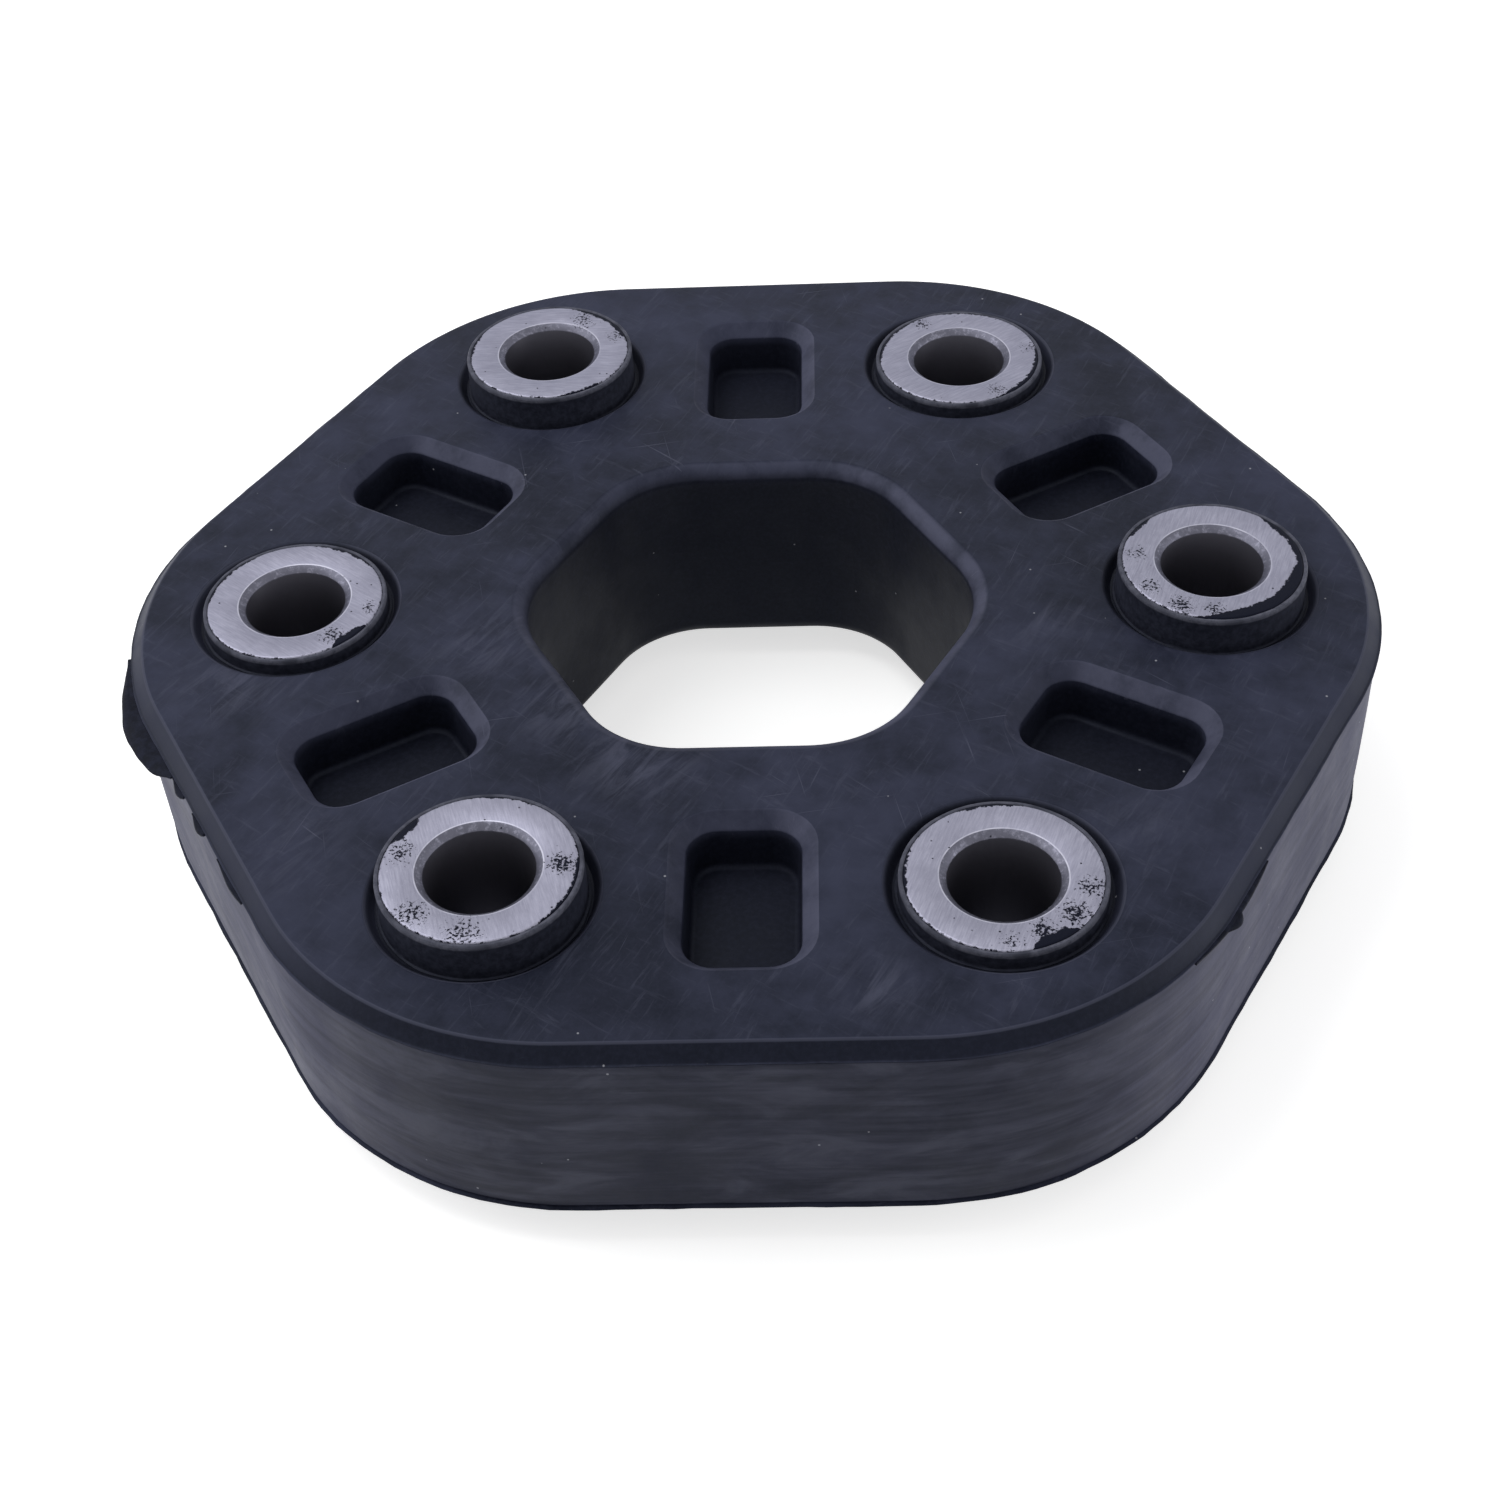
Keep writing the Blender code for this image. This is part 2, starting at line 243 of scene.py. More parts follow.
def outline_blank():
    """The rubber hexagon with its rolled rim, its uneven parting line and its slightly barrelled wall."""
    rows = [(inset, BODY_BOTTOM + drop * MM, rough) for inset, drop, rough in RIM_PROFILE]
    rows.append((WALL_MIDDLE_INSET, BODY_MIDDLE, 0.07))
    rows += [(inset, BODY_TOP - drop * MM, rough) for inset, drop, rough in reversed(RIM_PROFILE)]
    rings = []
    for inset, height, rough in rows:
        apothem = BODY_APOTHEM - inset * MM
        radius = BODY_CORNER_RADIUS - inset * MM

        def wobble(point, level, rough=rough):
            fine = wobble_noise(point, level, 2.2 * MM, 0.6)
            broad = wobble_noise(point, level, 9.0 * MM, 0.8)
            return max(-1.0, min(0.75, fine + broad)) * rough * MM

        rings.append(polygon_ring(6, apothem, radius, height, 26, 18, wobble))
    return loft("rubber_body_fine", rings)


def hole_cutter():
    """The central opening, with a soft fillet that runs out through each face."""
    last = math.radians(78)
    rows = []
    for step in range(9):
        tilt = last * step / 8
        rows.append((HOLE_FILLET * (1 - math.cos(tilt)), HOLE_FILLET * math.sin(tilt)))
    grow, rise = rows[-1]
    rows.append((grow + RUN_OUT * math.tan(last), rise + RUN_OUT))
    inner_top = BODY_TOP - HOLE_FILLET
    inner_bottom = BODY_BOTTOM + HOLE_FILLET
    sections = [(grow, inner_bottom - rise) for grow, rise in reversed(rows)]
    sections += [(grow, inner_top + rise) for grow, rise in rows]
    rings = []
    for grow, height in sections:
        rings.append(polygon_ring(6, HOLE_APOTHEM + grow, HOLE_CORNER_RADIUS + grow, height, 18, 1))
    return loft("hole_cutter", rings)


def pocket_cutter():
    """A blind pocket with a sloped rim and a rounded floor, its mouth at height zero."""
    sections = []
    for step in range(5):
        tilt = math.pi / 2 * step / 4
        inset = POCKET_DRAFT + POCKET_FLOOR_FILLET * (1 - math.sin(tilt))
        sections.append((-inset, -POCKET_DEPTH + POCKET_FLOOR_FILLET * (1 - math.cos(tilt))))
    sections += [
        (-0.06 * MM, -POCKET_RIM - 0.20 * MM),
        (0.02 * MM, -POCKET_RIM - 0.02 * MM),
        (0.18 * MM, -POCKET_RIM + 0.14 * MM),
        (POCKET_RIM - 0.15 * MM, -0.16 * MM),
        (POCKET_RIM + 0.10 * MM, -0.04 * MM),
        (POCKET_RIM + 0.10 * MM + 3 * RUN_OUT, RUN_OUT),
    ]
    rings = []
    for grow, height in sections:
        radius = POCKET_CORNER_RADIUS + grow
        rings.append(rectangle_ring(POCKET_LENGTH + 2 * grow, POCKET_WIDTH + 2 * grow, radius, height, 9))
    return loft("pocket_cutter", rings)


def seat_cutter():
    """A sleeve's hole and the shallow moat round it at each face, its heights from the body's middle."""
    half = BODY_TOP - BODY_MIDDLE
    hole = SLEEVE_RADIUS + SKIN - SKIN_OVERLAP
    upper = [
        (0.0, half + RUN_OUT),
        (MOAT_RADIUS + 0.35 * MM + 3 * RUN_OUT, half + RUN_OUT),
        (MOAT_RADIUS + 0.10 * MM, half - 0.06 * MM),
        (MOAT_RADIUS - 0.20 * MM, half - 0.25 * MM),
        (MOAT_RADIUS - 0.42 * MM, half - 0.60 * MM),
        (MOAT_RADIUS - 0.62 * MM, half - 1.00 * MM),
        (MOAT_RADIUS - 0.90 * MM, half - MOAT_DEPTH),
        (hole, half - MOAT_DEPTH - 0.05 * MM),
    ]
    lower = [(radius, -height) for radius, height in reversed(upper)]
    return turned("seat_cutter", upper + lower)


def as_object(mesh, name, matrix=None):
    """A linked object from a mesh."""
    item = link(bpy.data.objects.new(name, mesh))
    if matrix is not None:
        item.matrix_world = matrix
    return item


def around_axis(degrees, distance, height=0.0):
    """Turned to a direction and moved out from the axis."""
    turn = Matrix.Rotation(math.radians(degrees), 4, "Z")
    return turn @ Matrix.Translation((distance, 0, height))


def cut_all(body, cutters):
    """Cut the cutters out of the body, keep the result as its mesh and remove them."""
    for cutter in cutters:
        modifier = body.modifiers.new("cut", "BOOLEAN")
        modifier.operation = "DIFFERENCE"
        modifier.solver = "MANIFOLD"
        modifier.object = cutter
    weld = body.modifiers.new("weld", "WELD")
    weld.merge_threshold = MERGE_DISTANCE
    graph = bpy.context.evaluated_depsgraph_get()
    mesh = bpy.data.meshes.new_from_object(body.evaluated_get(graph))
    body.modifiers.clear()
    body.data = mesh
    for cutter in cutters:
        bpy.data.objects.remove(cutter)


def make_rubber_body(material):
    """The moulded body, with its opening, pockets and sleeve holes cut."""
    body = as_object(outline_blank(), "rubber_body_worn")
    cutters = [as_object(hole_cutter(), "cutter_hole")]
    pocket = pocket_cutter()
    seat = seat_cutter()
    flip = Matrix.Rotation(math.pi, 4, "X")
    for angle in SLEEVE_ANGLES:
        cutters.append(as_object(pocket, "cutter", around_axis(angle + 30, PAIR_RADIUS, BODY_TOP)))
        below = around_axis(angle + 30, PAIR_RADIUS, BODY_BOTTOM) @ flip
        cutters.append(as_object(pocket, "cutter", below))
        cutters.append(as_object(seat, "cutter", Matrix.Translation(sleeve_centre(angle, BODY_MIDDLE))))
    cut_all(body, cutters)
    shade(body.data)
    weighted = body.modifiers.new("flat_faces_stay_flat", "WEIGHTED_NORMAL")
    weighted.keep_sharp = True
    body.data.materials.clear()
    body.data.materials.append(material)
    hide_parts("rubber_body")
    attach(body, "root")


def sleeve_name(angle):
    """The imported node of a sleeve."""
    return f"steel_sleeve_{angle:03d}"


def sleeve_centre(angle, height):
    """A sleeve's axis at a height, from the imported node's own box."""
    low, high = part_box(sleeve_name(angle))
    return Vector(((low.x + high.x) / 2, (low.y + high.y) / 2, height))


def make_sleeve(angle, material):
    """A steel sleeve with chamfered bore and broken outer edges."""
    low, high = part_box(sleeve_name(angle))
    half = (high.z - low.z) / 2
    edge = 0.30 * MM
    upper = [
        (BORE_RADIUS, half - 0.72 * MM),
        (BORE_RADIUS + 0.06 * MM, half - 0.62 * MM),
        (BORE_RADIUS + 0.72 * MM, half - 0.05 * MM),
        (BORE_RADIUS + 0.84 * MM, half),
    ]
    upper += arc(SLEEVE_RADIUS - edge, half - edge, edge, 90, 0, 4)
    outer_lower = [(radius, -height) for radius, height in reversed(upper)]
    mesh = turned(f"sleeve_{angle:03d}_mesh", upper + outer_lower, closed=True)
    shade(mesh)
    place = Matrix.Translation(sleeve_centre(angle, (low.z + high.z) / 2))
    sleeve = as_object(mesh, f"sleeve_{angle:03d}_worn", place)
    mesh.materials.append(material)
    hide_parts(sleeve_name(angle))
    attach(sleeve, "root")


def make_skin(angle, above):
    """The thin rubber skin that the mould leaves round a sleeve's end."""
    low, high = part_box(sleeve_name(angle))
    face = BODY_TOP if above else BODY_BOTTOM
    end = (high.z - BODY_TOP) if above else (BODY_BOTTOM - low.z)
    outer = SLEEVE_RADIUS + SKIN
    inner = SLEEVE_RADIUS + 0.01 * MM
    foot = -MOAT_DEPTH
    crest = end - 0.14 * MM
    profile = [(inner, crest)]
    profile += [(inner + 0.12 * MM, crest + 0.08 * MM), (outer - 0.16 * MM, crest + 0.06 * MM)]
    profile += [(outer - 0.03 * MM, crest - 0.08 * MM), (outer, crest - 0.25 * MM)]
    profile += [(outer, foot + 0.45 * MM), (outer + 0.10 * MM, foot + 0.20 * MM)]
    profile += [(outer + 0.34 * MM, foot + 0.10 * MM), (outer + 0.36 * MM, foot - 0.12 * MM)]
    profile += [(inner, foot - 0.5 * MM)]
    mesh = turned(f"skin_{angle:03d}_mesh", profile, closed=True)
    if above:
        roughen_skin(mesh, angle, crest)
    shade(mesh, 40)
    level = "upper" if above else "lower"
    matrix = Matrix.Translation(sleeve_centre(angle, face))
    if not above:
        matrix = matrix @ Matrix.Rotation(math.pi, 4, "X")
    skin = as_object(mesh, f"rubber_skin_{level}_{angle:03d}", matrix)
    mesh.materials.append(skin_material(end))
    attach(skin, "root")


def roughen_skin(mesh, angle, crest):
    """Tear the skin's crest a little and make its foot uneven."""
    for vertex in mesh.vertices:
        place = Vector((vertex.co.x, vertex.co.y, angle * MM))
        torn = noise.noise(place / (1.7 * MM))
        if vertex.co.z > crest - 0.1 * MM:
            vertex.co.z += 0.07 * MM * torn
        radius = math.hypot(vertex.co.x, vertex.co.y)
        if radius > SLEEVE_RADIUS + SKIN + 0.2 * MM:
            scale = 1 + 0.012 * noise.noise(place / (3.0 * MM))
            vertex.co.x *= scale
            vertex.co.y *= scale


# Torn mould flash under the rim's lip: the corner's direction in degrees, where along the outline
# it starts and ends from that corner's middle and how far it stands out, in mm
FLASH = (
    (180, 7.0, 29.5, 2.7),
    (180, 29.8, 33.4, 0.5),
    (180, 36.4, 40.2, 0.5),
    (180, 44.6, 52.2, 0.4),
    (300, 11.5, 28.5, 0.4),
    (300, 16.6, 20.8, 0.9),
)
FLASH_STEPS = 34
FLASH_ROOT_DROP = 1.86 * MM
FLASH_ROOT_DEPTH = 1.3 * MM
BOX_MARGIN = 0.05 * MM


def outline_place(corner, along, outset, height):
    """A point by its way along the body's outline from a corner's middle, and how far outside it."""
    half_turn = math.radians(30)
    turn = math.radians(corner)
    reach = (BODY_APOTHEM - BODY_CORNER_RADIUS) / math.cos(half_turn)
    bend = min(along / BODY_CORNER_RADIUS, half_turn)
    outward = Vector((math.cos(turn + bend), math.sin(turn + bend), 0))
    onward = Vector((-outward.y, outward.x, 0)) * (along - BODY_CORNER_RADIUS * bend)
    centre = Vector((math.cos(turn), math.sin(turn), 0)) * reach
    return centre + outward * (BODY_CORNER_RADIUS + outset) + onward + Vector((0, 0, height))


def make_flash(number, material):
    """A torn, lumpy strip of flash, its root inside the rubber under the lip."""
    corner, start, end, width = FLASH[number]
    rings = []
    for step in range(FLASH_STEPS + 1):
        share = step / FLASH_STEPS
        along = (start + (end - start) * share) * MM
        lump = noise.noise(Vector((along / (2.4 * MM), number * 7.3, 0)))
        broad = noise.noise(Vector((along / (6.0 * MM), number * 3.1, 5)))
        swell = max(0.04, math.sin(math.pi * share ** 1.5)) ** 0.75
        reach = width * MM * swell * (0.90 + 0.10 * lump + 0.16 * broad)
        thick = (0.34 + 0.16 * lump) * MM * (0.4 + 0.6 * swell)
        droop = (0.30 + 0.35 * broad) * reach
        root = BODY_TOP - FLASH_ROOT_DROP
        section = (
            (-FLASH_ROOT_DEPTH, root),
            (0.35 * reach, root - 0.25 * droop + 0.10 * MM),
            (0.80 * reach, root - 0.75 * droop + 0.08 * MM),
            (reach, root - droop - 0.10 * MM),
            (0.98 * reach, root - droop - 0.5 * thick),
            (0.72 * reach, root - 0.8 * droop - 1.3 * thick),
            (0.25 * reach, root - 0.4 * droop - 1.5 * thick),
            (-FLASH_ROOT_DEPTH, root - 1.2 * thick),
        )
        ring = [outline_place(corner, along, outset, height) for outset, height in section]
        for point in ring:
            point.x = max(point.x, CAD_BOX[0][0] + BOX_MARGIN)
        rings.append(ring)
    mesh = loft(f"flash_{number}_mesh", rings)
    shade(mesh, 50)
    flash = as_object(mesh, f"torn_flash_{number}")
    mesh.materials.append(material)
    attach(flash, "root")


class Graph:
    """A short way to write shader nodes."""

    def __init__(self, name):
        self.material = bpy.data.materials.new(name)
        self.material.use_nodes = True
        self.tree = self.material.node_tree
        self.shader = self.tree.nodes["Principled BSDF"]
        self.place = self.add("ShaderNodeTexCoord").outputs["Object"]

    def add(self, kind, **settings):
        """A node with its settings."""
        node = self.tree.nodes.new(kind)
        for key, value in settings.items():
            setattr(node, key, value)
        return node

    def feed(self, socket, value):
        """A link or a plain value into a socket."""
        if isinstance(value, bpy.types.NodeSocket):
            self.tree.links.new(value, socket)
        else:
            socket.default_value = value

    def math(self, operation, first, second=0.0, clamp=False):
        """A Math node."""
        node = self.add("ShaderNodeMath", operation=operation, use_clamp=clamp)
        self.feed(node.inputs[0], first)
        self.feed(node.inputs[1], second)
        return node.outputs[0]

    def times(self, *values):
        """The product of several values."""
        product = values[0]
        for value in values[1:]:
            product = self.math("MULTIPLY", product, value)
        return product

    def most(self, values):
        """The largest of several values."""
        largest = values[0]
        for value in values[1:]:
            largest = self.math("MAXIMUM", largest, value)
        return largest

    def vector(self, operation, first, second=(0, 0, 0)):
        """A Vector Math node."""
        node = self.add("ShaderNodeVectorMath", operation=operation)
        self.feed(node.inputs[0], first)
        self.feed(node.inputs[1], second)
        is_number = operation in ("LENGTH", "DISTANCE", "DOT_PRODUCT")
        return node.outputs["Value" if is_number else "Vector"]

    def scaled(self, scale, turn=0.0, shift=(0, 0, 0)):
        """The place in millimetres, turned about Z, stretched by the scale and shifted."""
        turned_place = self.add("ShaderNodeMapping", vector_type="POINT")
        self.feed(turned_place.inputs["Vector"], self.place)
        turned_place.inputs["Rotation"].default_value = (0, 0, math.radians(turn))
        stretched = self.add("ShaderNodeMapping", vector_type="POINT")
        self.feed(stretched.inputs["Vector"], turned_place.outputs[0])
        stretched.inputs["Scale"].default_value = tuple(part / MM for part in scale)
        stretched.inputs["Location"].default_value = shift
        return stretched.outputs[0]

    def noise(self, vector, detail=4.0, roughness=0.55, distortion=0.0):
        """Noise from 0 to 1."""
        node = self.add("ShaderNodeTexNoise")
        self.feed(node.inputs["Vector"], vector)
        node.inputs["Scale"].default_value = 1.0
        node.inputs["Detail"].default_value = detail
        node.inputs["Roughness"].default_value = roughness
        node.inputs["Distortion"].default_value = distortion
        return node.outputs["Fac"]

    def cells(self, vector):
        """How far a point is from its cell's centre, and a number that the cell has to itself."""
        node = self.add("ShaderNodeTexVoronoi", feature="F1")
        self.feed(node.inputs["Vector"], vector)
        node.inputs["Scale"].default_value = 1.0
        number = self.add("ShaderNodeSeparateColor")
        self.feed(number.inputs[0], node.outputs["Color"])
        return node.outputs["Distance"], number.outputs[0]

    def span(self, value, low, high, out_low=0.0, out_high=1.0):
        """Map a range smoothly to another, held at its ends."""
        node = self.add("ShaderNodeMapRange", interpolation_type="SMOOTHSTEP")
        self.feed(node.inputs["Value"], value)
        node.inputs["From Min"].default_value = low
        node.inputs["From Max"].default_value = high
        node.inputs["To Min"].default_value = out_low
        node.inputs["To Max"].default_value = out_high
        return node.outputs["Result"]

    def mix(self, factor, first, second):
        """Mix two colours."""
        node = self.add("ShaderNodeMix", data_type="RGBA", blend_type="MIX")
        self.feed(node.inputs[0], factor)
        for socket, value in ((node.inputs[6], first), (node.inputs[7], second)):
            self.feed(socket, (*value, 1.0) if isinstance(value, tuple) else value)
        return node.outputs[2]

    def spot(self, centre, reach):
        """1 at a place, falling to 0 at the reach."""
        away = self.vector("DISTANCE", self.place, centre)
        return self.span(away, reach, 0.0)

    def parts(self):
        """X, Y and Z of the place."""
        node = self.add("ShaderNodeSeparateXYZ")
        self.feed(node.inputs[0], self.place)
        return node.outputs

    def flat(self):
        """The place without its height."""
        place_x, place_y, _ = self.parts()
        node = self.add("ShaderNodeCombineXYZ")
        self.feed(node.inputs[0], place_x)
        self.feed(node.inputs[1], place_y)
        return node.outputs[0]

    def bump(self, height, distance, strength=1.0, below=None):
        """A Bump node, on another bump's normal if given."""
        node = self.add("ShaderNodeBump")
        self.feed(node.inputs["Height"], height)
        node.inputs["Distance"].default_value = distance
        node.inputs["Strength"].default_value = strength
        if below is not None:
            self.feed(node.inputs["Normal"], below)
        return node.outputs[0]

    def gloss(self, level, tint):
        """The strength and tint of the reflection, the same all over."""
        self.shader.inputs["Specular IOR Level"].default_value = level
        self.shader.inputs["Specular Tint"].default_value = tint

    def finish(self, colour, roughness, normal):
        """Feed the shader and give its material."""
        self.feed(self.shader.inputs["Base Color"], colour)
        self.feed(self.shader.inputs["Roughness"], roughness)
        self.feed(self.shader.inputs["Normal"], normal)
        return self.material


RUBBER_DARK = (0.0060, 0.0075, 0.0160)
RUBBER_CHALK = (0.0380, 0.0420, 0.0720)
RUBBER_SCUFF = (0.1000, 0.1060, 0.1560)
# Painted shade for the opening's wall, the insides of the pockets and the moats
RUBBER_PAINTED_SHADE = (0.0030, 0.0036, 0.0075)
# Bevel colour: partly rubbed wear, partly a painted highlight
RUBBER_BEVEL_RUBBED_AND_LIT = (0.085, 0.089, 0.136)
RUBBER_GLOSS = 0.14
RUBBER_GLOSS_TINT = (0.72, 0.80, 1.0, 1.0)
WALL_DARK = (0.012, 0.013, 0.023)
WALL_PALE = (0.044, 0.046, 0.070)
WALL_PATCH = (0.072, 0.076, 0.104)
# Painted sheen on the side wall where it faces left or right
WALL_PAINTED_SHEEN = (0.094, 0.096, 0.156)
RIM_DARK = (0.0035, 0.0042, 0.0090)
# Painted light on the rim band where it faces left or right
RIM_PAINTED_LIGHT = (0.034, 0.037, 0.060)
DUST = (0.55, 0.56, 0.62)

# The patch of painted shade on the top face, made by giving it little chalk: x, y and reach
PAINTED_SHADE_CENTRE = (-17 * MM, -58 * MM, BODY_TOP)
PAINTED_SHADE_REACH = 19 * MM

# Chalky smudges on the top face: x, y and reach in mm, and how strong
SMUDGES = (
    (-20, -18, 11, 0.9),
    (-12, -28, 11, 1.0),
    (-30, -8, 11, 0.7),
    (14, -62, 7, 0.9),
    (-60, -13, 12, 0.7),
    (-49, -41, 10, 0.6),
    (-27, 58, 13, 0.5),
    (43, -40, 8, 0.5),
    (34, -6, 8, 0.5),
)

# Scratches on the top face: their turn in degrees, how the noise is stretched, and its threshold
SCRATCHES = (
    (20, (2.6, 0.05, 1), 0.72),
    (-48, (2.2, 0.06, 1), 0.73),
    (80, (3.0, 0.045, 1), 0.73),
    (-12, (3.4, 0.04, 1), 0.73),
)


def body_places(g):
    """Where a point lies on the rubber body, and how its surface leans."""
    height = g.parts()[2]
    flat = g.flat()
    from_axis = g.vector("LENGTH", flat)
    normal = g.add("ShaderNodeSeparateXYZ")
    g.feed(normal.inputs[0], g.add("ShaderNodeNewGeometry").outputs["Normal"])
    return SimpleNamespace(
        height=height,
        flat=flat,
        from_axis=from_axis,
        lean=normal.outputs[0],
        sideways=g.math("ABSOLUTE", normal.outputs[0]),
        level=g.math("ABSOLUTE", normal.outputs[2]),
        outside=g.span(from_axis, 0.060, 0.064),
    )


def chalk_amount(g, cloud):
    """How chalky the rubber is, in broad and middling clouds, with the chalk held back in one patch as
    painted shade.
    """
    broad = g.noise(g.scaled((0.030, 0.030, 0.030)), 5.0, 0.6, 0.4)
    chalk = g.math("ADD", g.times(broad, 0.55), g.times(cloud, 0.45))
    # painted shade: less chalk in one patch of the top face
    painted_shade_patch = g.times(g.spot(PAINTED_SHADE_CENTRE, PAINTED_SHADE_REACH), 0.75)
    return g.times(g.span(chalk, 0.34, 0.68), g.math("SUBTRACT", 1.0, painted_shade_patch))


def wiped(g, colour):
    """Fine wipe marks that cross each other."""
    along = g.noise(g.scaled((1.3, 0.14, 0.4), 28, (1, 6, 2)), 6.0, 0.7, 0.5)
    across = g.noise(g.scaled((1.2, 0.16, 0.4), -55, (4, 2, 8)), 6.0, 0.7, 0.5)
    marks = g.most((g.span(along, 0.52, 0.74), g.span(across, 0.54, 0.76)))
    return g.mix(g.times(marks, 0.24), colour, RUBBER_SCUFF)


def smudged(g, colour):
    """The larger smudges of the top face, rubbed in streaks."""
    spots = []
    for place_x, place_y, reach, strength in SMUDGES:
        centre = (place_x * MM, place_y * MM, BODY_TOP)
        spots.append(g.times(g.spot(centre, reach * MM), strength))
    streaks = g.noise(g.scaled((0.55, 0.10, 0.3), 35), 6.0, 0.68, 0.8)
    smudges = g.times(g.most(spots), g.span(streaks, 0.42, 0.66))
    return g.mix(g.times(smudges, 0.55), colour, RUBBER_SCUFF)


def scratch_lines(g):
    """Thin scratches in a few directions, in patches."""
    lines = []
    for turn, stretch, threshold in SCRATCHES:
        thin = g.noise(g.scaled(stretch, turn, (turn, 0, 0)), 3.0, 0.5)
        lines.append(g.span(thin, threshold - 0.04, threshold + 0.03))
    patches = g.noise(g.scaled((0.06, 0.06, 0.06), shift=(3, 9, 4)), 3.0)
    return g.times(g.most(lines), g.span(patches, 0.5, 0.62))


def with_side_wall(g, places, colour):
    """The scuffed outer wall, mottled and streaked along the outline, with a painted sheen that makes it
    paler where it faces left or right.
    """
    streak = g.noise(g.scaled((0.045, 0.045, 0.9)), 6.0, 0.6, 0.3)
    patch = g.noise(g.scaled((0.07, 0.07, 0.22), shift=(5, 5, 5)), 5.0, 0.6, 0.6)
    mottled = g.math("ADD", g.times(streak, 0.40), g.times(patch, 0.60))
    side = g.mix(g.span(mottled, 0.38, 0.63), WALL_DARK, WALL_PALE)
    side = g.mix(g.times(g.span(patch, 0.5, 0.7), 0.5), side, WALL_PATCH)
    # painted sheen: paler where the wall faces left or right
    sideways = g.span(places.sideways, 0.30, 0.95, 0.0, 0.80)
    side = g.mix(g.times(sideways, g.span(streak, 0.25, 0.70, 0.55, 1.0)), side, WALL_PAINTED_SHEEN)
    wall = g.times(g.span(places.level, 0.55, 0.25), places.outside)
    return g.mix(wall, colour, side)


def with_painted_shade_in_hollows(g, places, colour):
    """Painted shade: the dark wall of the opening and the dark insides of the upper pockets."""
    # painted shade on the opening's wall and in the upper pockets
    opening = g.times(g.span(places.level, 0.75, 0.35), g.span(places.from_axis, 0.036, 0.033))
    colour = g.mix(g.times(opening, 0.75), colour, RUBBER_PAINTED_SHADE)
    below_rim = g.span(places.height, BODY_TOP - POCKET_RIM, BODY_TOP - POCKET_RIM - 1.5 * MM)
    pocket = g.times(below_rim, g.span(places.from_axis, 0.061, 0.0605))
    return g.mix(g.times(pocket, 0.85), colour, RUBBER_PAINTED_SHADE)


def with_rubbed_and_lit_bevels(g, places, cloud, colour):
    """The bevels of the pockets and the opening, paler in rubbed clouds and with a painted highlight that is
    strongest where they face left.
    """
    sloped = g.times(g.span(places.level, 0.985, 0.93), g.span(places.level, 0.15, 0.40))
    near_top = g.span(places.height, BODY_TOP - 2.0 * MM, BODY_TOP - 1.5 * MM)
    inside = g.span(places.from_axis, 0.0625, 0.0615)
    rubbed = g.span(cloud, 0.30, 0.62, 0.30, 0.85)
    # painted light: bevels that face left are lit most
    painted_light_from_left = g.span(places.lean, 0.10, -0.45, 0.35, 1.0)
    rubbed_and_lit_bevel = g.times(sloped, near_top, inside, rubbed, painted_light_from_left)
    return g.mix(rubbed_and_lit_bevel, colour, RUBBER_BEVEL_RUBBED_AND_LIT)


def with_painted_moat_shade(g, places, colour):
    """Painted shade: dark rings round the sleeves, where the moats' walls lie in shadow."""
    rings = []
    for angle in SLEEVE_ANGLES:
        away = g.vector("DISTANCE", places.flat, sleeve_centre(angle, 0.0))
        rings.append(g.span(away, MOAT_RADIUS + 0.40 * MM, MOAT_RADIUS - 0.35 * MM))
    # painted shade over the moats
    return g.mix(g.times(g.most(rings), 0.86), colour, RUBBER_PAINTED_SHADE)


def with_rim(g, places, colour):
    """The dark rolled band round the upper face, with painted light where it faces left or right, and a
    painted highlight along the crease at its inner edge.
    """
    band = g.times(g.span(places.height, BODY_TOP - 2.0 * MM, BODY_TOP - 1.7 * MM), places.outside)
    band = g.times(band, g.span(places.level, 0.97, 0.85))
    # painted light: the band is lighter where it faces left or right
    band_colour = g.mix(g.span(places.sideways, 0.35, 0.80), RIM_DARK, RIM_PAINTED_LIGHT)
    colour = g.mix(g.times(band, 0.85), colour, band_colour)
    # painted highlight: a pale line along the crease
    crease_highlight = g.times(g.span(places.height, BODY_TOP - 0.28 * MM, BODY_TOP - 0.14 * MM), places.outside)
    crease_highlight = g.times(crease_highlight, g.span(places.level, 0.985, 0.95))
    return g.mix(g.times(crease_highlight, 0.42), colour, RUBBER_SCUFF)


def dusted(g, colour):
    """Single pale specks of dust."""
    away, number = g.cells(g.scaled((0.38, 0.38, 0.38)))
    specks = g.times(g.span(away, 0.065, 0.030), g.span(number, 0.80, 0.84))
    return g.mix(g.times(specks, 0.55), colour, DUST)


